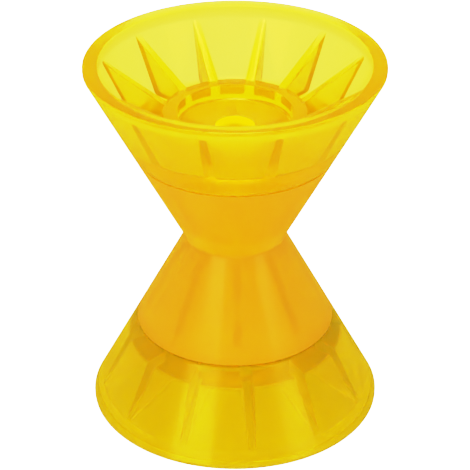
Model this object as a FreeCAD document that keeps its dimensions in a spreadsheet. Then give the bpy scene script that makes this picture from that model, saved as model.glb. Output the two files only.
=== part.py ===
"""Boat trailer bow roller: an hourglass roller between two ribbed end bells on one bore."""
import FreeCAD, Part
import os
import Sketcher

DIMENSIONS = (
    ("waist_radius", 18.4, "radius of the roller at its narrow middle"),
    ("flank_angle", 27.8, "slope of the flanks against the bore, in degrees"),
    ("roller_length", 70.6, "length of the hourglass roller between its end faces"),
    ("end_gap", 0.2, "running clearance between a roller end and a bell"),
    ("bore_radius", 6.85, "bore for a half inch shaft"),
    ("roller_wall", 4.2, "thickness of the roller wall outside the cored cells"),
    ("roller_hub_radius", 11.0, "outside radius of the tube round the roller bore"),
    ("core_depth", 29.0, "depth of the cored cells from each roller end"),
    ("web_recess", 3.6, "distance of the webs below the roller end face"),
    ("web_thickness", 3.0, "thickness of a web in the roller"),
    ("web_count", 8, "webs in each end of the roller"),
    ("web_turn", 2.0, "angle of the first roller web from +X, in degrees"),
    ("roller_end_bevel", 0.6, "bevel on the outer edge of each roller end"),
    ("bell_height", 33.6, "height of a bell from its plate face to its rim"),
    ("bell_wall", 3.4, "thickness of the conical wall of a bell"),
    ("rim_edge_height", 1.4, "straight outer edge below the rim face"),
    ("rim_face_width", 5.4, "width of the flat rim face"),
    ("plate_thickness", 8.9, "thickness of the plate at the small end of a bell"),
    ("ring_outer_radius", 26.2, "outside radius of the hub ring"),
    ("ring_inner_radius", 20.7, "inside radius of the hub ring"),
    ("ring_height", 5.6, "height of the hub ring above the plate"),
    ("rib_count", 12, "ribs in a bell"),
    ("rib_foot_thickness", 4.2, "thickness of a rib at the plate"),
    ("rib_draft", 2.2, "draft of each rib side, in degrees"),
    ("rib_foot_rise", 0.6, "height of the rib ridge above the outer edge of the hub ring"),
    ("plate_bevel", 0.8, "bevel on the outer edge of a bell's plate"),
    ("upper_bell_turn", 17.5, "angle of the first rib of the upper bell from +X, in degrees"),
    ("lower_bell_turn", 7.5, "angle of the first rib of the lower bell from +X, in degrees"),
)

# Formulas shared by the sketches. The flank is one straight line from the waist to the rim.
SLOPE = "tan(dims.flank_angle * 1 deg)"
LEAN = "cos(dims.flank_angle * 1 deg)"
HALF_LENGTH = "(dims.roller_length / 2)"
SEAT_HEIGHT = f"({HALF_LENGTH} + dims.end_gap)"
END_RADIUS = f"(dims.waist_radius + {SLOPE} * {HALF_LENGTH})"
PLATE_RADIUS = f"(dims.waist_radius + {SLOPE} * {SEAT_HEIGHT})"
RIM_HEIGHT = "(dims.bell_height - dims.rim_edge_height)"
RIM_RADIUS = f"({PLATE_RADIUS} + {SLOPE} * {RIM_HEIGHT})"
BELL_WALL_ACROSS = f"(dims.bell_wall / {LEAN})"
LIP_RADIUS = f"({RIM_RADIUS} - dims.rim_face_width)"
LIP_HEIGHT = f"({RIM_HEIGHT} - (dims.rim_face_width - {BELL_WALL_ACROSS}) / {SLOPE})"
CUP_FLOOR_RADIUS = f"({PLATE_RADIUS} + {SLOPE} * dims.plate_thickness - {BELL_WALL_ACROSS})"
RING_TOP = "(dims.plate_thickness + dims.ring_height)"
RING_MIDDLE = "((dims.ring_outer_radius + dims.ring_inner_radius) / 2)"
RIDGE_FOOT = f"({RING_TOP} + dims.rib_foot_rise)"
RIDGE_SLOPE = f"(({LIP_HEIGHT} - {RIDGE_FOOT}) / ({LIP_RADIUS} - dims.ring_outer_radius))"
ROLLER_WALL_ACROSS = f"(dims.roller_wall / {LEAN})"


def make_sheet(doc):
    """Writes every driving dimension to the sheet, one row each."""
    sheet = doc.addObject("Spreadsheet::Sheet", "dims")
    for row, (alias, value, meaning) in enumerate(DIMENSIONS, start=1):
        sheet.set(f"A{row}", alias)
        sheet.set(f"B{row}", str(value))
        sheet.setAlias(f"B{row}", alias)
        sheet.set(f"C{row}", meaning)
    doc.recompute()
    return sheet


def make_body(doc, label):
    """Adds an empty body whose label names its file."""
    body = doc.addObject("PartDesign::Body", label)
    body.Label = label
    return body


def origin_plane(body, role):
    """Returns one of the body's own origin planes."""
    return next(item for item in body.Origin.OriginFeatures if item.Role == role)


def outline(body, name, role, points):
    """Draws a closed outline whose corners are tied to formulas in the sketch's two directions."""
    sketch = body.newObject("Sketcher::SketchObject", name)
    sketch.AttachmentSupport = (origin_plane(body, role), [""])
    sketch.MapMode = "FlatFace"
    count = len(points)
    start = Part.Circle(FreeCAD.Vector(20, 20, 0), FreeCAD.Vector(0, 0, 1), 10).discretize(count + 1)
    for index in range(count):
        sketch.addGeometry(Part.LineSegment(start[index], start[index + 1]), False)
    for index in range(count):
        sketch.addConstraint(Sketcher.Constraint("Coincident", index, 2, (index + 1) % count, 1))
    for index, (across, up) in enumerate(points):
        tie(sketch, "DistanceX", -2, index, across)
        tie(sketch, "DistanceY", -1, index, up)
    return sketch


def tie(sketch, kind, axis, corner, formula):
    """Ties one corner to a formula, or puts it on the axis where the formula is zero."""
    if formula == "0":
        sketch.addConstraint(Sketcher.Constraint("PointOnObject", corner, 1, axis))
    elif formula.startswith("-"):
        index = sketch.addConstraint(Sketcher.Constraint(kind, corner, 1, -1, 1, 10.0))
        sketch.setExpression(f"Constraints[{index}]", formula[1:])
    else:
        index = sketch.addConstraint(Sketcher.Constraint(kind, -1, 1, corner, 1, 10.0))
        sketch.setExpression(f"Constraints[{index}]", formula)


def revolve(body, name, sketch, kind="PartDesign::Revolution"):
    """Turns a sketch fully round the bore's axis, as material or as a groove."""
    feature = body.newObject(kind, name)
    feature.Profile = sketch
    feature.ReferenceAxis = (sketch, ["V_Axis"])
    feature.Angle = 360
    sketch.Visibility = False
    return feature


def pattern(body, name, originals, count):
    """Repeats features evenly round the bore's axis."""
    feature = body.newObject("PartDesign::PolarPattern", name)
    feature.Originals = originals
    axis = next(item for item in body.Origin.OriginFeatures if item.Role == "Z_Axis")
    feature.Axis = (axis, [""])
    feature.Angle = 360
    feature.setExpression("Occurrences", count)
    body.Tip = feature
    return feature


def circles_at(shape, height):
    """Lists the round edges at one height, as pairs of radius and edge name."""
    found = []
    for number, edge in enumerate(shape.Edges, start=1):
        curve = edge.Curve
        if isinstance(curve, Part.Circle) and abs(curve.Center.z - height) < 0.001:
            found.append((curve.Radius, f"Edge{number}"))
    return sorted(found)


def bevel(body, name, edges, size):
    """Bevels edges of the body's last feature."""
    if not edges:
        raise RuntimeError(f"{name} found no edge")
    last = body.Tip
    feature = body.newObject("PartDesign::Chamfer", name)
    feature.Base = (last, edges)
    feature.setExpression("Size", size)
    body.Tip = feature
    body.Document.recompute()
    return feature


def must_shrink(feature):
    """Stops the script where a cut took nothing away."""
    if feature.Shape.Volume >= feature.BaseFeature.Shape.Volume - 1:
        raise RuntimeError(f"{feature.Name} cut nothing")


def must_grow(feature):
    """Stops the script where an addition added nothing."""
    if feature.Shape.Volume <= feature.BaseFeature.Shape.Volume + 1:
        raise RuntimeError(f"{feature.Name} added nothing")


def cored_end(body, name, face, inward):
    """Cores one roller end between its hub and its wall, from a face height towards the waist."""
    end_wall = f"({END_RADIUS} - {ROLLER_WALL_ACROSS})"
    deep_wall = f"({end_wall} - {SLOPE} * dims.core_depth)"
    deep = f"{face} {inward} dims.core_depth"
    corners = [("dims.roller_hub_radius", face), (end_wall, face), (deep_wall, deep), ("dims.roller_hub_radius", deep)]
    return revolve(body, name, outline(body, name + "Outline", "XZ_Plane", corners), "PartDesign::Groove")


def web(body, name, face, inward):
    """Adds the first web of one roller end, from its recess down into the roller's solid middle."""
    half_wall = f"({ROLLER_WALL_ACROSS} / 2)"
    hub_middle = "((dims.roller_hub_radius + dims.bore_radius) / 2)"
    start = f"{face} {inward} dims.web_recess"
    stop = f"{face} {inward} (dims.core_depth + dims.roller_wall / 2)"
    start_radius = f"({END_RADIUS} - {SLOPE} * dims.web_recess - {half_wall})"
    stop_radius = f"({END_RADIUS} - {SLOPE} * (dims.core_depth + dims.roller_wall / 2) - {half_wall})"
    corners = [(hub_middle, start), (start_radius, start), (stop_radius, stop), (hub_middle, stop)]
    feature = body.newObject("PartDesign::Pad", name)
    feature.Profile = outline(body, name + "Outline", "XZ_Plane", corners)
    feature.Midplane = True
    feature.setExpression("Length", "dims.web_thickness")
    return feature


def make_roller(doc, sheet):
    """Builds the hourglass roller with its bore on Z and its lower end face at height zero."""
    body = make_body(doc, "bow_roller")
    far = "dims.roller_length"
    corners = [
        ("dims.bore_radius", "0"),
        (END_RADIUS, "0"),
        ("dims.waist_radius", HALF_LENGTH),
        (END_RADIUS, far),
        ("dims.bore_radius", far),
    ]
    revolve(body, "Hourglass", outline(body, "HourglassOutline", "XZ_Plane", corners))
    low_core = cored_end(body, "LowCore", "0", "+")
    high_core = cored_end(body, "HighCore", far, "-")
    low_web = web(body, "LowWeb", "0", "+")
    high_web = web(body, "HighWeb", far, "-")
    doc.recompute()
    must_shrink(low_core)
    must_shrink(high_core)
    webs = pattern(body, "Webs", [low_web, high_web], "dims.web_count")
    doc.recompute()
    must_grow(webs)
    ends = [circles_at(webs.Shape, height) for height in (0, sheet.roller_length)]
    bevel(body, "EndBevels", [end[-1][1] for end in ends], "dims.roller_end_bevel")
    body.setExpression("Placement.Base.z", "-dims.roller_length / 2")
    body.setExpression("Placement.Rotation.Angle", "dims.web_turn")
    return body


def rib_bars(body):
    """Stands drafted bars on the disc, one for each rib, wider and higher than the ribs will be."""
    half_width = "(dims.rib_foot_thickness / 2 + dims.plate_thickness * tan(dims.rib_draft * 1 deg))"
    corners = [
        (RING_MIDDLE, "-" + half_width),
        (RIM_RADIUS, "-" + half_width),
        (RIM_RADIUS, half_width),
        (RING_MIDDLE, half_width),
    ]
    bar = body.newObject("PartDesign::Pad", "RibBar")
    bar.Profile = outline(body, "RibBarOutline", "XY_Plane", corners)
    bar.setExpression("Length", "dims.bell_height")
    bar.setExpression("TaperAngle", "-dims.rib_draft")
    body.Document.recompute()
    bars = pattern(body, "RibBars", [bar], "dims.rib_count")
    body.Document.recompute()
    must_grow(bars)


def trim_ribs(body):
    """Cuts the bars down to the sloping ridge and back to the middle of the conical wall."""
    half_wall = f"({BELL_WALL_ACROSS} / 2)"
    beyond_lip = f"({half_wall} / (1 - {SLOPE} * {RIDGE_SLOPE}))"
    corners = [
        (f"{PLATE_RADIUS} - {half_wall}", "0"),
        (f"2 * {RIM_RADIUS}", "0"),
        (f"2 * {RIM_RADIUS}", "2 * dims.bell_height"),
        (RING_MIDDLE, "2 * dims.bell_height"),
        (RING_MIDDLE, f"{RIDGE_FOOT} - {RIDGE_SLOPE} * (dims.ring_outer_radius - {RING_MIDDLE})"),
        (f"{LIP_RADIUS} + {beyond_lip}", f"{LIP_HEIGHT} + {RIDGE_SLOPE} * {beyond_lip}"),
    ]
    trim = revolve(body, "RibTrim", outline(body, "RibTrimOutline", "XZ_Plane", corners), "PartDesign::Groove")
    body.Document.recompute()
    must_shrink(trim)


def add_shell(body):
    """Adds the plate, the hub ring and the conical wall with its rim in one turned section."""
    corners = [
        ("dims.bore_radius", "0"),
        (PLATE_RADIUS, "0"),
        (RIM_RADIUS, RIM_HEIGHT),
        (RIM_RADIUS, "dims.bell_height"),
        (LIP_RADIUS, "dims.bell_height"),
        (LIP_RADIUS, LIP_HEIGHT),
        (CUP_FLOOR_RADIUS, "dims.plate_thickness"),
        ("dims.ring_outer_radius", "dims.plate_thickness"),
        ("dims.ring_outer_radius", RING_TOP),
        ("dims.ring_inner_radius", RING_TOP),
        ("dims.ring_inner_radius", "dims.plate_thickness"),
        ("dims.bore_radius", "dims.plate_thickness"),
    ]
    shell = revolve(body, "Shell", outline(body, "ShellOutline", "XZ_Plane", corners))
    body.Document.recompute()
    must_grow(shell)


def make_bell(doc, label, turn, flipped):
    """Builds an end bell, cup upwards on height zero, and stands it against its end of the roller."""
    body = make_body(doc, label)
    disc = [
        ("dims.bore_radius", "0"),
        ("dims.ring_outer_radius", "0"),
        ("dims.ring_outer_radius", "dims.plate_thickness"),
        ("dims.bore_radius", "dims.plate_thickness"),
    ]
    revolve(body, "Disc", outline(body, "DiscOutline", "XZ_Plane", disc))
    rib_bars(body)
    trim_ribs(body)
    add_shell(body)
    plate = circles_at(body.Shape, 0)
    bevel(body, "PlateBevel", [plate[-1][1]], "dims.plate_bevel")
    rotation = FreeCAD.Rotation(turn, 0, 180 if flipped else 0)
    body.Placement = FreeCAD.Placement(FreeCAD.Vector(), rotation)
    body.setExpression("Placement.Base.z", f"-{SEAT_HEIGHT}" if flipped else SEAT_HEIGHT)
    return body


def check(doc, bodies):
    """Stops the script where an object failed or a piece isn't one valid solid."""
    for item in doc.Objects:
        if "Invalid" in item.State or "Error" in item.State:
            raise RuntimeError(f"{item.Label} failed: {item.State}")
    for body in bodies:
        shape = body.Shape
        if shape.isNull() or not shape.isValid() or len(shape.Solids) != 1:
            raise RuntimeError(f"{body.Label} isn't one valid solid")


def main():
    """Builds the three pieces and writes one STEP file for each."""
    doc = FreeCAD.newDocument("BowRoller")
    sheet = make_sheet(doc)
    bodies = [
        make_roller(doc, sheet),
        make_bell(doc, "upper_bell", sheet.upper_bell_turn, False),
        make_bell(doc, "lower_bell", sheet.lower_bell_turn, True),
    ]
    doc.recompute()
    check(doc, bodies)
    os.makedirs("parts", exist_ok=True)
    for body in bodies:
        body.Shape.exportStep(f"parts/{body.Label}.step")
        box = body.Shape.BoundBox
        print(f"{body.Label}: {body.Shape.Volume / 1000:.1f} cm3, z {box.ZMin:.2f} to {box.ZMax:.2f}, x {box.XLength:.2f}")


main()
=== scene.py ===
"""Looks of a boat trailer bow roller: an hourglass roller between two ribbed end bells, in translucent amber plastic.

Sizes are in mm unless a docstring says metres. Z runs along the bore, with its zero at the roller's waist.
"""

import logging
import math
from dataclasses import dataclass
from enum import Enum
from typing import Callable, Optional, Sequence, Union

import bmesh
import bpy
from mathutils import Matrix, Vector

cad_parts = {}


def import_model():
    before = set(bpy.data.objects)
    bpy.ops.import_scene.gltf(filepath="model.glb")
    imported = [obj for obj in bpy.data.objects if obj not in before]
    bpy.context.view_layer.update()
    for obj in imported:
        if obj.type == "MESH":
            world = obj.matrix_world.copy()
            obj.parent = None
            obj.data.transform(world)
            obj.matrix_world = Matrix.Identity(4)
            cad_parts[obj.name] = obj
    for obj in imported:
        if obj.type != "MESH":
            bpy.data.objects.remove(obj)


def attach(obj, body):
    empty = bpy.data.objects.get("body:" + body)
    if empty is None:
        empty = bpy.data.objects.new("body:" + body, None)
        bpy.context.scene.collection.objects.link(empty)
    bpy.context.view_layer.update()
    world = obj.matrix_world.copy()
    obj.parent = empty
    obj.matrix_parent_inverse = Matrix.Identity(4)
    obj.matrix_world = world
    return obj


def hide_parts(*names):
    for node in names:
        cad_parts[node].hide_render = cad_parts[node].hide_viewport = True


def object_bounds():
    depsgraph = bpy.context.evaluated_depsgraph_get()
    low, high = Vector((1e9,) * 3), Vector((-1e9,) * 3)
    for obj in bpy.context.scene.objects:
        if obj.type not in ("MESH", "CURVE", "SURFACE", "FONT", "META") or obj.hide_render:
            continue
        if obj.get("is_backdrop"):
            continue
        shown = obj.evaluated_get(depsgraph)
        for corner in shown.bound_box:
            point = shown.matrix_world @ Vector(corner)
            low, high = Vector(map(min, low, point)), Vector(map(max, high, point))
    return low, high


MM = 0.001
SAME_PLACE = 1e-6
BLACK = (0.0, 0.0, 0.0, 1.0)
LOG = logging.getLogger("bow_roller")

UPPER_TURN = 17.5
LOWER_TURN = 7.5

Colour = tuple[float, float, float]
MeshPart = Union[bmesh.types.BMVert, bmesh.types.BMEdge, bmesh.types.BMFace]


class Pick(Enum):
    """What a selection picks out of a mesh."""

    VERTICES = "VERT"
    EDGES = "EDGE"
    FACES = "FACE"


class End(Enum):
    """Which end of the stack a bell closes."""

    UPPER = "upper_bell"
    LOWER = "lower_bell"


@dataclass(frozen=True)
class Corner:
    """A corner of a section, in mm, with the length that its round takes off each side."""

    radius: float
    height: float
    cut: float = 0.0
    steps: int = 3


def clear_selection() -> None:
    """Leaves edit mode and deselects every object."""
    if bpy.context.object and bpy.context.object.mode != "OBJECT":
        bpy.ops.object.mode_set(mode="OBJECT")
    bpy.ops.object.select_all(action="DESELECT")


def open_mesh(piece: bpy.types.Object) -> None:
    """Makes one object active and opens it in edit mode.

    Args:
        piece: The mesh object to edit.
    """
    clear_selection()
    piece.select_set(True)
    bpy.context.view_layer.objects.active = piece
    bpy.ops.object.mode_set(mode="EDIT")
    bpy.ops.mesh.select_mode(type=Pick.VERTICES.value)


def pick(piece: bpy.types.Object, kind: Pick, wanted: Callable[[MeshPart], bool]) -> int:
    """Selects the parts of the open mesh that pass a test.

    Args:
        piece: The mesh object that is open in edit mode.
        kind: Whether vertices, edges or faces are tested.
        wanted: The test that a part has to pass.

    Returns:
        The number of parts selected.
    """
    bpy.ops.mesh.select_mode(type=kind.value)
    bpy.ops.mesh.select_all(action="DESELECT")
    mesh = bmesh.from_edit_mesh(piece.data)
    parts = {Pick.VERTICES: mesh.verts, Pick.EDGES: mesh.edges, Pick.FACES: mesh.faces}[kind]
    found = [part for part in parts if wanted(part)]
    for part in found:
        part.select_set(True)
    bmesh.update_edit_mesh(piece.data)
    return len(found)


def draw_outline(name: str, corners: Sequence[Corner]) -> bpy.types.Object:
    """Draws a closed wire in the XZ plane, corner by corner, and rounds its corners.

    Args:
        name: The new object's name.
        corners: The corners in order, in mm.

    Returns:
        The wire, open in edit mode.
    """
    clear_selection()
    first = corners[0]
    bpy.ops.mesh.primitive_plane_add(size=MM, location=(first.radius * MM, 0, first.height * MM))
    wire = bpy.context.object
    wire.name = name
    bpy.ops.object.transform_apply(location=True, rotation=True, scale=True)
    open_mesh(wire)
    bpy.ops.mesh.select_all(action="SELECT")
    bpy.ops.mesh.merge(type="CENTER")
    for here, there in zip(corners, corners[1:]):
        step = ((there.radius - here.radius) * MM, 0, (there.height - here.height) * MM)
        bpy.ops.mesh.extrude_region_move(TRANSFORM_OT_translate={"value": step})
    pick(wire, Pick.VERTICES, lambda vertex: len(vertex.link_edges) == 1)
    bpy.ops.mesh.edge_face_add()
    for corner in corners:
        if corner.cut:
            place = Vector((corner.radius * MM, 0, corner.height * MM))
            pick(wire, Pick.VERTICES, lambda vertex: (vertex.co - place).length < SAME_PLACE)
            bpy.ops.mesh.bevel(offset=corner.cut * MM, segments=corner.steps, affect="VERTICES")
    return wire


def turn_section(name: str, corners: Sequence[Corner], steps: int) -> bpy.types.Object:
    """Turns a section fully round the bore into a closed mesh.

    Args:
        name: The new object's name.
        corners: The section's corners in mm.
        steps: The faces round the turn.

    Returns:
        The turned mesh object, in object mode.
    """
    piece = draw_outline(name, corners)
    bpy.ops.mesh.select_all(action="SELECT")
    bpy.ops.mesh.spin(steps=steps, angle=math.tau, center=(0, 0, 0), axis=(0, 0, 1))
    close_mesh(piece)
    return piece


def close_mesh(piece: bpy.types.Object) -> None:
    """Merges doubles and points the faces outwards.

    Args:
        piece: The mesh object to close.
    """
    open_mesh(piece)
    bpy.ops.mesh.select_all(action="SELECT")
    bpy.ops.mesh.remove_doubles(threshold=SAME_PLACE)
    bpy.ops.mesh.normals_make_consistent(inside=False)
    clear_selection()


def thicken_outline(name: str, corners: Sequence[Corner], width: float) -> bpy.types.Object:
    """Fills an outline and extrudes it to a slab with its middle on the XZ plane.

    Args:
        name: The new object's name.
        corners: The outline's corners in mm.
        width: The slab's thickness in mm.

    Returns:
        The slab, in object mode.
    """
    piece = draw_outline(name, corners)
    bpy.ops.mesh.select_all(action="SELECT")
    bpy.ops.mesh.edge_face_add()
    bpy.ops.mesh.select_all(action="SELECT")
    bpy.ops.transform.translate(value=(0, -width / 2 * MM, 0))
    bpy.ops.mesh.extrude_region_move(TRANSFORM_OT_translate={"value": (0, width * MM, 0)})
    close_mesh(piece)
    return piece


def turn_mesh(piece: bpy.types.Object, angle: float, axis: str) -> None:
    """Turns a mesh about a world axis through the origin, anticlockwise seen against the axis.

    Args:
        piece: The mesh object to turn.
        angle: The angle in degrees.
        axis: X, Y or Z.
    """
    open_mesh(piece)
    bpy.ops.mesh.select_all(action="SELECT")
    bpy.ops.transform.rotate(value=-math.radians(angle), orient_axis=axis, center_override=(0, 0, 0))
    clear_selection()


def lift_mesh(piece: bpy.types.Object, height: float) -> None:
    """Moves a mesh along the bore.

    Args:
        piece: The mesh object to move.
        height: The distance in mm.
    """
    open_mesh(piece)
    bpy.ops.mesh.select_all(action="SELECT")
    bpy.ops.transform.translate(value=(0, 0, height * MM))
    clear_selection()


def copy_round(piece: bpy.types.Object, count: int) -> bpy.types.Object:
    """Copies a piece evenly round the bore, each copy with its own mesh, and joins the copies to it.

    Args:
        piece: The first of the pieces.
        count: How many there are in all.

    Returns:
        The piece, which now holds them all.
    """
    copies = []
    for index in range(1, count):
        clear_selection()
        piece.select_set(True)
        bpy.context.view_layer.objects.active = piece
        bpy.ops.object.duplicate(linked=False)
        copy = bpy.context.object
        turn_mesh(copy, 360 * index / count, "Z")
        copies.append(copy)
    clear_selection()
    for item in (piece, *copies):
        item.select_set(True)
    bpy.context.view_layer.objects.active = piece
    bpy.ops.object.join()
    return piece


def unite(piece: bpy.types.Object, other: bpy.types.Object) -> None:
    """Joins another closed mesh to a piece and removes the other.

    Args:
        piece: The piece that stays.
        other: The piece that is used up.
    """
    clear_selection()
    bpy.context.view_layer.objects.active = piece
    piece.select_set(True)
    modifier = piece.modifiers.new("unite", "BOOLEAN")
    modifier.operation = "UNION"
    modifier.solver = "EXACT"
    modifier.object = other
    bpy.ops.object.modifier_apply(modifier=modifier.name)
    bpy.data.objects.remove(other)
    close_mesh(piece)


def smooth(piece: bpy.types.Object, crease: float) -> None:
    """Shades a piece smooth, apart from edges sharper than the crease.

    Args:
        piece: The piece to shade.
        crease: The angle in degrees past which an edge stays sharp.
    """
    clear_selection()
    piece.select_set(True)
    bpy.context.view_layer.objects.active = piece
    bpy.ops.object.shade_smooth_by_angle(angle=math.radians(crease))
    clear_selection()


@dataclass(frozen=True)
class Flank:
    """The straight flank that runs from the waist to the rims, and the bore inside it. Sizes are in mm."""

    waist_radius: float = 18.4
    angle: float = 27.8
    roller_length: float = 70.6
    end_gap: float = 0.2
    bore_radius: float = 6.85

    @property
    def slope(self) -> float:
        """The radius that the flank gains for each mm of height."""
        return math.tan(math.radians(self.angle))

    @property
    def half_length(self) -> float:
        """The height of a roller end above the waist."""
        return self.roller_length / 2

    @property
    def seat_height(self) -> float:
        """The height of a bell's plate face above the waist."""
        return self.half_length + self.end_gap

    def radius_at(self, height: float) -> float:
        """The flank's radius at a height above or below the waist."""
        return self.waist_radius + self.slope * abs(height)

    def across(self, wall: float) -> float:
        """The radial width of a wall of this thickness that lies along the flank."""
        return wall / math.cos(math.radians(self.angle))


@dataclass
class HourglassRoller:
    """The hourglass roller, cored from both ends, with webs between its hub and its wall. Sizes are in mm."""

    flank: Flank
    wall: float = 4.2
    hub_radius: float = 11.0
    core_depth: float = 29.0
    web_recess: float = 3.6
    web_thickness: float = 3.0
    web_count: int = 8
    web_turn: float = 2.0
    end_cut: float = 0.7
    waist_cut: float = 0.8
    core_cut: float = 1.6
    bore_cut: float = 0.5
    crease: float = 35
    steps: int = 192
    name: str = "roller_moulding"

    def section(self) -> list[Corner]:
        """The section from the lower end round to the bore, cored cells included."""
        flank, half = self.flank, self.flank.half_length
        wall_radius = flank.radius_at(half) - flank.across(self.wall)
        deep_radius = wall_radius - flank.slope * self.core_depth
        deep = half - self.core_depth
        lower = [
            Corner(flank.bore_radius, -half, self.bore_cut, 2),
            Corner(self.hub_radius, -half, self.bore_cut, 2),
            Corner(self.hub_radius, -deep, self.core_cut, 4),
            Corner(deep_radius, -deep, self.core_cut, 4),
            Corner(wall_radius, -half, self.bore_cut, 2),
            Corner(flank.radius_at(half), -half, self.end_cut, 4),
        ]
        upper = [Corner(c.radius, -c.height, c.cut, c.steps) for c in reversed(lower)]
        return [*lower, Corner(flank.waist_radius, 0, self.waist_cut, 3), *upper]

    def web_outline(self) -> list[Corner]:
        """One web of the lower end, let into the hub, the wall and the solid middle."""
        flank, half = self.flank, self.flank.half_length
        inner = (self.hub_radius + flank.bore_radius) / 2
        start = half - self.web_recess
        stop = half - self.core_depth - self.wall / 2
        sunk = flank.across(self.wall) / 2
        return [
            Corner(inner, -start),
            Corner(flank.radius_at(start) - sunk, -start),
            Corner(flank.radius_at(stop) - sunk, -stop),
            Corner(inner, -stop),
        ]

    def build(self) -> bpy.types.Object:
        """Turns the roller, adds its webs and smooths it.

        Returns:
            The finished roller in its place.
        """
        piece = turn_section(self.name, self.section(), self.steps)
        for label, flipped in (("low_webs", False), ("high_webs", True)):
            web = thicken_outline(label, self.web_outline(), self.web_thickness)
            if flipped:
                turn_mesh(web, 180, "X")
            turn_mesh(web, self.web_turn, "Z")
            unite(piece, copy_round(web, self.web_count))
        smooth(piece, self.crease)
        return piece


@dataclass
class Bell:
    """An end bell: a plate with a hub ring, a flared wall with a rim, and ribs between them. Sizes are in mm."""

    flank: Flank
    end: End
    turn: float
    height: float = 33.6
    wall: float = 3.4
    rim_edge_height: float = 1.4
    rim_face_width: float = 5.4
    plate_thickness: float = 8.9
    ring_outer_radius: float = 26.2
    ring_inner_radius: float = 20.7
    ring_height: float = 5.6
    rib_count: int = 12
    rib_foot_thickness: float = 4.2
    rib_draft: float = 2.2
    rib_foot_rise: float = 0.6
    rib_cut: float = 0.6
    rim_cut: float = 0.45
    ring_cut: float = 0.5
    recess_cut: float = 1.4
    lip_cut: float = 0.8
    floor_cut: float = 1.2
    plate_cut: float = 0.8
    bore_cut: float = 0.5
    ridge_rise: float = 5.0
    crease: float = 22
    steps: int = 192

    def wall_radius(self, height: float) -> float:
        """The outer radius of the wall at a height above the plate face."""
        return self.flank.radius_at(self.flank.seat_height + height)

    @property
    def rim_radius(self) -> float:
        """The outer radius of the rim."""
        return self.wall_radius(self.height - self.rim_edge_height)

    @property
    def lip_height(self) -> float:
        """The height at which the lip inside the rim meets the wall."""
        spare = self.rim_face_width - self.flank.across(self.wall)
        return self.height - self.rim_edge_height - spare / self.flank.slope

    @property
    def ring_top(self) -> float:
        """The height of the hub ring's top."""
        return self.plate_thickness + self.ring_height

    def section(self) -> list[Corner]:
        """The bell's section, cup upwards, from the bore round the outside to the bore."""
        lip_radius = self.rim_radius - self.rim_face_width
        floor_radius = self.wall_radius(self.plate_thickness) - self.flank.across(self.wall)
        return [
            Corner(self.flank.bore_radius, 0, self.bore_cut, 2),
            Corner(self.wall_radius(0), 0, self.plate_cut, 4),
            Corner(self.rim_radius, self.height - self.rim_edge_height),
            Corner(self.rim_radius, self.height, self.rim_cut, 4),
            Corner(lip_radius, self.height, self.rim_cut, 4),
            Corner(lip_radius, self.lip_height, self.lip_cut, 3),
            Corner(floor_radius, self.plate_thickness, self.floor_cut, 4),
            Corner(self.ring_outer_radius, self.plate_thickness, self.ring_cut, 3),
            Corner(self.ring_outer_radius, self.ring_top, self.ring_cut, 3),
            Corner(self.ring_inner_radius, self.ring_top, self.ring_cut, 3),
            Corner(self.ring_inner_radius, self.plate_thickness, self.recess_cut, 4),
            Corner(self.flank.bore_radius, self.plate_thickness, self.bore_cut, 2),
        ]

    def rib_outline(self) -> list[Corner]:
        """A rib's side, let into the ring, the plate and the wall."""
        inner = (self.ring_outer_radius + self.ring_inner_radius) / 2
        lip_radius = self.rim_radius - self.rim_face_width
        foot = self.ring_top + self.rib_foot_rise
        rise = (self.lip_height - foot) / (lip_radius - self.ring_outer_radius)
        sunk = self.flank.across(self.wall) / 2
        beyond = sunk / (1 - self.flank.slope * rise)
        low = self.plate_thickness / 2
        return [
            Corner(inner, low),
            Corner(self.wall_radius(low) - sunk, low),
            Corner(lip_radius + beyond, self.lip_height + rise * beyond),
            Corner(inner, foot - rise * (self.ring_outer_radius - inner)),
        ]

    def make_rib(self) -> bpy.types.Object:
        """Makes one drafted rib along +X, with rounded ridge edges.

        Returns:
            The rib, in object mode.
        """
        rib = thicken_outline("rib", self.rib_outline(), 3 * self.rib_foot_thickness)
        draft = math.radians(self.rib_draft)
        open_mesh(rib)
        for side in (-1, 1):
            bpy.ops.mesh.select_all(action="SELECT")
            bpy.ops.mesh.bisect(
                plane_co=(0, side * self.rib_foot_thickness / 2 * MM, self.plate_thickness * MM),
                plane_no=(0, side * math.cos(draft), math.sin(draft)),
                use_fill=True,
                clear_outer=True,
            )
        top = (self.ring_top + self.rib_foot_rise) * MM
        ridge_rise = self.ridge_rise * MM

        def on_ridge(edge: bmesh.types.BMEdge) -> bool:
            """Whether an edge climbs along the ridge."""
            low, high = sorted(vertex.co.z for vertex in edge.verts)
            return low > top - ridge_rise and high - low > ridge_rise

        pick(rib, Pick.EDGES, on_ridge)
        bpy.ops.mesh.bevel(offset=self.rib_cut * MM, segments=3, affect="EDGES")
        clear_selection()
        return rib

    def build(self) -> bpy.types.Object:
        """Turns the bell, adds its ribs and stands it on its end of the roller.

        Returns:
            The finished bell in its place.
        """
        piece = turn_section(f"{self.end.value}_moulding", self.section(), self.steps)
        unite(piece, copy_round(self.make_rib(), self.rib_count))
        lift_mesh(piece, self.flank.seat_height)
        if self.end is End.LOWER:
            turn_mesh(piece, 180, "X")
        turn_mesh(piece, self.turn, "Z")
        smooth(piece, self.crease)
        return piece


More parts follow.
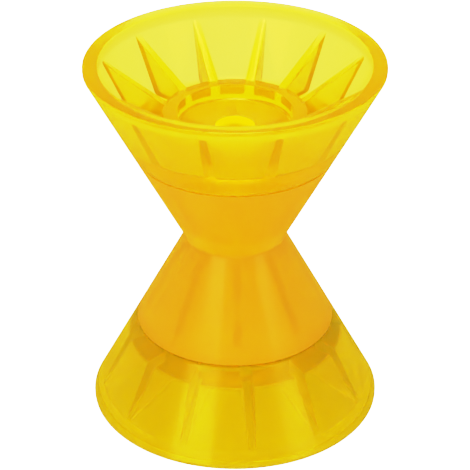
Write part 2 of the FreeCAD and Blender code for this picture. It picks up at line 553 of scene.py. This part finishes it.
class Signal:
    """A number that a shader node gives out, for use in Python expressions."""

    def __init__(self, sheet: "NodeSheet", socket: bpy.types.NodeSocket) -> None:
        """Keeps the socket and the sheet that its maths is added to."""
        self.sheet = sheet
        self.socket = socket

    def _maths(self, operation: str, first: "Value", second: "Value") -> "Signal":
        """Adds one Math node."""
        return self.sheet.node("ShaderNodeMath", {"operation": operation}, {0: first, 1: second})

    def __add__(self, other: "Value") -> "Signal":
        """self + other"""
        return self._maths("ADD", self, other)

    __radd__ = __add__

    def __mul__(self, other: "Value") -> "Signal":
        """self * other"""
        return self._maths("MULTIPLY", self, other)

    __rmul__ = __mul__


Value = Union[Signal, float, Sequence[float]]


class NodeSheet:
    """A node tree, with the one method that adds nodes to it."""

    def __init__(self, tree: bpy.types.NodeTree) -> None:
        """Clears the tree."""
        self.tree = tree
        tree.nodes.clear()

    def node(
        self,
        kind: str,
        settings: Optional[dict[str, object]] = None,
        values: Optional[dict[Union[str, int], Value]] = None,
        output: Union[str, int] = 0,
    ) -> Signal:
        """Adds a node.

        Args:
            kind: The node's type.
            settings: Its properties, set first. A list under "stops" gives a ramp's stops.
            values: The values or links of its sockets, by name or number.
            output: The output that is used, by name or number.

        Returns:
            The output as a signal.
        """
        made = self.tree.nodes.new(kind)
        for key, setting in (settings or {}).items():
            if key == "stops":
                self._set_stops(made.color_ramp, setting)
            else:
                setattr(made, key, setting)
        for key, value in (values or {}).items():
            if isinstance(value, Signal):
                self.tree.links.new(value.socket, made.inputs[key])
            else:
                made.inputs[key].default_value = value
        return Signal(self, made.outputs[output] if made.outputs else None)

    @staticmethod
    def _set_stops(ramp: bpy.types.ColorRamp, stops: Sequence[tuple[float, Colour]]) -> None:
        """Sets a ramp's stops."""
        while len(ramp.elements) < len(stops):
            ramp.elements.new(0.5)
        for element, (position, colour) in zip(ramp.elements, stops):
            element.position = position
            element.color = (*colour, 1)

    def fade(self, value: Value, span: tuple[float, float], ends: tuple[float, float]) -> Signal:
        """Runs from the first end to the second as a length in metres crosses a span in mm."""
        low, high = span
        first, last = ends
        values = {"Value": value, "From Min": low * MM, "From Max": high * MM, "To Min": first, "To Max": last}
        return self.node("ShaderNodeMapRange", {}, values)

    def blend(self, factor: Value, first: Value, second: Value) -> Signal:
        """Mixes two colours."""
        values = {0: factor, 6: first, 7: second}
        return self.node("ShaderNodeMix", {"data_type": "RGBA"}, values, output=2)


@dataclass(frozen=True)
class AmberPlastic:
    """A translucent moulded plastic, part clear and part milky.

    Colours are linear and absorption is for each metre. The ripple's depth and the places that bound the glow painted
    onto the mouth of the bore are in mm.
    """

    name: str
    slot: str
    thin: Colour
    deep: Colour
    mirrored: Colour
    glow: Colour
    glow_deep: Colour
    milk: float
    roughness: tuple[float, float]
    absorbed: Colour
    density: float
    ripple: float
    cloud_scale: float = 28.0
    haze_scale: float = 90.0
    ripple_scale: float = 260.0
    ripple_depth: float = 0.1
    cloud_share: float = 2.0
    milk_roughness: float = 0.7
    ior: float = 1.5
    gloss: float = 0.1
    coat: float = 0.26
    coat_roughness: float = 0.14
    # The glow painted onto the mouth of the bore (emission standing in for light), and the radii and heights in mm
    # that bound it.
    painted_glow_colour: Optional[Colour] = None
    painted_glow_radii: tuple[float, float] = (6.95, 7.2)
    painted_glow_heights: tuple[float, float] = (39.5, 42.0)

    def make(self) -> bpy.types.Material:
        """Builds the material.

        Returns:
            The new material.
        """
        material = bpy.data.materials.new(self.name)
        material.use_nodes = True
        sheet = NodeSheet(material.node_tree)
        place = sheet.node("ShaderNodeTexCoord", output="Object")
        clouds = sheet.node("ShaderNodeTexNoise", {}, {"Vector": place, "Scale": self.cloud_scale, "Detail": 2.0})
        haze = sheet.node("ShaderNodeTexNoise", {}, {"Vector": place, "Scale": self.haze_scale, "Detail": 4.0})
        grain = sheet.node("ShaderNodeTexNoise", {}, {"Vector": place, "Scale": self.ripple_scale, "Detail": 3.0})
        colour = sheet.blend(clouds, (*self.thin, 1), (*self.deep, 1))
        smooth_side, hazy_side = self.roughness
        roughness = smooth_side + (hazy_side - smooth_side) * haze
        bump = sheet.node("ShaderNodeBump", {}, {
            "Strength": self.ripple,
            "Distance": self.ripple_depth * MM,
            "Height": grain + self.cloud_share * clouds,
        })
        clear = sheet.node("ShaderNodeBsdfPrincipled", {}, {
            "Base Color": colour,
            "Roughness": roughness,
            "Normal": bump,
            "IOR": self.ior,
            "Specular IOR Level": self.gloss,
            "Specular Tint": (*self.mirrored, 1),
            # Emission: a glow painted onto the mouth of the bore, standing in for light there.
            "Emission Color": self.painted_bore_glow(sheet, place),
            "Emission Strength": 1.0,
            "Transmission Weight": 1.0,
            "Coat Weight": self.coat,
            "Coat Roughness": self.coat_roughness,
        })
        milky = sheet.node("ShaderNodeBsdfPrincipled", {}, {
            "Base Color": sheet.blend(clouds, (*self.glow, 1), (*self.glow_deep, 1)),
            "Roughness": self.milk_roughness,
            "Normal": bump,
            "Specular IOR Level": 0.0,
        })
        surface = sheet.node("ShaderNodeMixShader", {}, {0: self.milk, 1: clear, 2: milky})
        body = sheet.node("ShaderNodeVolumeAbsorption", {}, {"Color": (*self.absorbed, 1), "Density": self.density})
        sheet.node("ShaderNodeOutputMaterial", {}, {"Surface": surface, "Volume": body})
        return material

    def painted_bore_glow(self, sheet: NodeSheet, place: Signal) -> Value:
        """Paints a glow onto the mouth of the bore: an emission that stands in for light there, not a lamp.

        Args:
            sheet: The material's nodes.
            place: The Object coordinates.

        Returns:
            The painted glow's emission colour, black away from the mouth.
        """
        if self.painted_glow_colour is None:
            return BLACK
        flat = sheet.node("ShaderNodeVectorMath", {"operation": "MULTIPLY"}, {0: place, 1: (1, 1, 0)})
        upright = sheet.node("ShaderNodeVectorMath", {"operation": "MULTIPLY"}, {0: place, 1: (0, 0, 1)})
        from_axis = sheet.node("ShaderNodeVectorMath", {"operation": "LENGTH"}, {0: flat}, output="Value")
        from_waist = sheet.node("ShaderNodeVectorMath", {"operation": "LENGTH"}, {0: upright}, output="Value")
        in_bore = sheet.fade(from_axis, self.painted_glow_radii, (1.0, 0.0))
        at_mouth = sheet.fade(from_waist, self.painted_glow_heights, (0.0, 1.0))
        return sheet.blend(in_bore * at_mouth, BLACK, (*self.painted_glow_colour, 1))


BELL_AMBER = AmberPlastic(
    name="moulded_lemon_amber",
    slot="bell_amber",
    thin=(1.0, 0.975, 0.60),
    deep=(1.0, 0.945, 0.44),
    mirrored=(1.0, 0.75, 0.01),
    glow=(1.0, 0.69, 0.002),
    glow_deep=(1.0, 0.63, 0.001),
    milk=0.22,
    roughness=(0.18, 0.28),
    absorbed=(1.0, 0.962, 0.0),
    density=400.0,
    ripple=0.05,
    # Colour of the glow painted onto the bore's mouth.
    painted_glow_colour=(0.9, 0.55, 0.0),
)
ROLLER_AMBER = AmberPlastic(
    name="moulded_deep_amber",
    slot="roller_amber",
    thin=(1.0, 0.97, 0.10),
    deep=(1.0, 0.94, 0.06),
    mirrored=(1.0, 0.65, 0.01),
    glow=(1.0, 0.49, 0.003),
    glow_deep=(1.0, 0.43, 0.002),
    milk=0.38,
    roughness=(0.34, 0.46),
    absorbed=(1.0, 0.974, 0.0),
    density=400.0,
    ripple=0.10,
    coat=0.7,
    coat_roughness=0.17,
)


def put_on(piece: bpy.types.Object, finish: AmberPlastic, body: str, node: str) -> None:
    """Gives a finished piece its material and its body, and hides the CAD node that it stands for.

    Args:
        piece: The finished piece.
        finish: The plastic it is moulded in.
        body: The CAD body it moves with.
        node: The CAD node it stands for.
    """
    material = bpy.data.materials.get(finish.name) or finish.make()
    piece.data.materials.clear()
    piece.data.materials.append(material)
    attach(piece, body)
    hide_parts(node)
    LOG.info("%s: %d faces on %s, for %s", piece.name, len(piece.data.polygons), body, node)


@dataclass(frozen=True)
class Softbox:
    """A rectangular soft light that faces the object. Angles are in degrees and sizes in metres."""

    name: str
    azimuth: float
    elevation: float
    distance: float
    width: float
    height: float
    power: float
    tone: Colour = (1.0, 0.92, 0.10)

    def place(self) -> None:
        """Adds the light."""
        turn, climb = math.radians(self.azimuth), math.radians(self.elevation)
        towards = Vector((math.sin(turn) * math.cos(climb), -math.cos(turn) * math.cos(climb), math.sin(climb)))
        lamp = bpy.data.lights.new(self.name, "AREA")
        lamp.shape = "RECTANGLE"
        lamp.color = self.tone
        lamp.energy, lamp.size, lamp.size_y = self.power, self.width, self.height
        light = bpy.data.objects.new(self.name, lamp)
        light.location = towards * self.distance
        light.rotation_euler = towards.to_track_quat("Z", "Y").to_euler()
        bpy.context.scene.collection.objects.link(light)


@dataclass(frozen=True)
class Studio:
    """The pale table with an amber-tinted shadow painted on it under the object, the even surroundings and the soft
    lights.
    """

    floor_height: float
    floor_size: float = 8.0
    floor_glow: float = 4.0
    surround: float = 0.98
    mirrored: float = 0.55
    mirrored_tone: Colour = (1.0, 0.80, 0.04)
    # An amber-tinted shadow painted on the table under the object: its radius in metres, the share of it at full
    # strength, and its colour.
    painted_shadow_radius: float = 0.056
    painted_shadow_edge: float = 0.8
    painted_shadow_tone: Colour = (0.64, 0.68, 0.03)
    table_tones: tuple[float, float] = (0.93, 0.96)
    table_roughness: float = 0.8
    table_gloss: float = 0.1
    tones: tuple[tuple[float, float], ...] = (
        (0.0, 0.0), (0.15, 0.16), (0.3, 0.33), (0.5, 0.55), (0.7, 0.74),
        (0.9, 0.81), (1.3, 0.86), (1.8, 0.93), (3.0, 1.0),
    )
    bounces: int = 48
    milk_bounces: int = 16

    @staticmethod
    def only_mirrored(sheet: NodeSheet) -> Signal:
        """One where a surface is seen in a reflection, and nothing where it is seen through plastic."""
        glossy = sheet.node("ShaderNodeLightPath", output="Is Glossy Ray")
        return glossy * sheet.node("ShaderNodeLightPath", output="Is Reflection Ray")

    def build_floor(self) -> bpy.types.Object:
        """Lays the pale table top under the object, with an amber-tinted shadow painted on it beneath the object.

        Returns:
            The table top.
        """
        clear_selection()
        bpy.ops.mesh.primitive_plane_add(size=self.floor_size, location=(0, 0, self.floor_height))
        floor = bpy.context.object
        floor.name = "table_top"
        material = bpy.data.materials.new("pale_table")
        material.use_nodes = True
        sheet = NodeSheet(material.node_tree)
        place = sheet.node("ShaderNodeTexCoord", output="Object")
        mottle = sheet.node("ShaderNodeTexNoise", {}, {"Vector": place, "Scale": 3.0, "Detail": 2.0})
        tone = sheet.blend(mottle, *((shade, shade, shade, 1) for shade in self.table_tones))
        reach = sheet.node("ShaderNodeVectorMath", {"operation": "LENGTH"}, {0: place}, output="Value")
        # Painted shadow: within this radius of the object's axis, the table's colour is darkened and tinted amber,
        # fading out at the edge.
        stops = [(0.0, (1, 1, 1)), (self.painted_shadow_radius * self.painted_shadow_edge, (1, 1, 1)), (self.painted_shadow_radius, (0, 0, 0))]
        painted_shadow_mask = sheet.node("ShaderNodeValToRGB", {"stops": stops}, {0: reach})
        table = sheet.node("ShaderNodeBsdfPrincipled", {}, {
            "Base Color": sheet.blend(painted_shadow_mask, tone, (*self.painted_shadow_tone, 1)),
            "Roughness": self.table_roughness,
            "Specular IOR Level": self.table_gloss,
        })
        dim = sheet.node("ShaderNodeEmission", {}, {"Color": (*self.mirrored_tone, 1), "Strength": self.mirrored})
        backlit = sheet.node("ShaderNodeEmission", {}, {"Color": (1, 1, 1, 1), "Strength": self.floor_glow})
        mirrored = self.only_mirrored(sheet)
        seen = sheet.node("ShaderNodeLightPath", output="Is Camera Ray")
        indirect = sheet.node("ShaderNodeMixShader", {}, {0: mirrored, 1: table, 2: dim})
        surface = sheet.node("ShaderNodeMixShader", {}, {0: seen, 1: indirect, 2: backlit})
        sheet.node("ShaderNodeOutputMaterial", {}, {"Surface": surface})
        floor.data.materials.append(material)
        floor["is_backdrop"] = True
        return floor

    def build_world(self) -> None:
        """Surrounds the object with even white light, dimmer where it is only mirrored."""
        world = bpy.data.worlds.new("studio_surround")
        world.use_nodes = True
        bpy.context.scene.world = world
        sheet = NodeSheet(world.node_tree)
        mirrored = self.only_mirrored(sheet)
        sky = sheet.node("ShaderNodeBackground", {}, {"Color": (1, 1, 1, 1), "Strength": self.surround})
        dim = sheet.node("ShaderNodeBackground", {}, {"Color": (*self.mirrored_tone, 1), "Strength": self.mirrored})
        backlit = sheet.node("ShaderNodeBackground", {}, {"Color": (1, 1, 1, 1), "Strength": self.floor_glow})
        seen = sheet.node("ShaderNodeLightPath", output="Is Camera Ray")
        indirect = sheet.node("ShaderNodeMixShader", {}, {0: mirrored, 1: sky, 2: dim})
        surround = sheet.node("ShaderNodeMixShader", {}, {0: seen, 1: indirect, 2: backlit})
        sheet.node("ShaderNodeOutputWorld", {}, {"Surface": surround})

    def set_tones(self, settings: bpy.types.ColorManagedViewSettings) -> None:
        """Rolls the brightest tones off, as a soft exposure does.

        Args:
            settings: The scene's view settings.
        """
        brightest = self.tones[-1][0]
        settings.use_curve_mapping = True
        mapping = settings.curve_mapping
        mapping.white_level = (brightest, brightest, brightest)
        points = mapping.curves[3].points
        for light, shown in self.tones[1:-1]:
            points.new(light / brightest, shown)
        mapping.update()

    def build(self) -> None:
        """Builds the floor, the surroundings and the lights."""
        self.build_floor()
        self.build_world()
        for box in (
            Softbox("left_softbox", -34, 24, 0.9, 0.5, 0.5, 4.0),
            Softbox("right_softbox", 52, 21, 0.9, 0.34, 0.5, 2.0),
            Softbox("overhead_softbox", 0, 88, 0.9, 0.3, 0.3, 4.8, (1.0, 0.92, 0.25)),
        ):
            box.place()
        scene = bpy.context.scene
        scene.view_settings.view_transform = "Standard"
        self.set_tones(scene.view_settings)
        scene.cycles.max_bounces = self.bounces
        scene.cycles.transmission_bounces = self.bounces
        scene.cycles.glossy_bounces = self.bounces
        scene.cycles.diffuse_bounces = self.milk_bounces
        LOG.info("studio: floor at %.4f m", self.floor_height)


@dataclass(frozen=True)
class Viewpoint:
    """The photograph's camera. Lengths are in metres, angles in degrees and the lens in mm."""

    elevation: float = 30.41
    distance: float = 0.7642
    target_height: float = -0.0016
    lens: float = 157.9
    sensor: float = 36.0

    def build(self) -> None:
        """Adds the camera and makes it the scene's."""
        climb = math.radians(self.elevation)
        back = Vector((0, -math.cos(climb), math.sin(climb)))
        lens = bpy.data.cameras.new("photo_camera")
        lens.lens, lens.sensor_width = self.lens, self.sensor
        lens.clip_start, lens.clip_end = 0.05, 20
        lens.dof.use_dof = False
        camera = bpy.data.objects.new("photo_camera", lens)
        camera.location = Vector((0, 0, self.target_height)) + back * self.distance
        camera.rotation_euler = back.to_track_quat("Z", "Y").to_euler()
        bpy.context.scene.collection.objects.link(camera)
        bpy.context.scene.camera = camera


def main() -> None:
    """Builds the camera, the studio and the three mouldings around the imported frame."""
    logging.basicConfig(level=logging.INFO, format="%(message)s")
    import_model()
    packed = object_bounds()
    clear_selection()
    Viewpoint().build()
    flank = Flank()
    put_on(HourglassRoller(flank).build(), ROLLER_AMBER, "roller", "bow_roller")
    put_on(Bell(flank, End.UPPER, UPPER_TURN).build(), BELL_AMBER, "upper_bell_body", "upper_bell")
    put_on(Bell(flank, End.LOWER, LOWER_TURN).build(), BELL_AMBER, "lower_bell_body", "lower_bell")
    Studio(floor_height=packed[0].z).build()


if __name__ == "__main__":
    main()
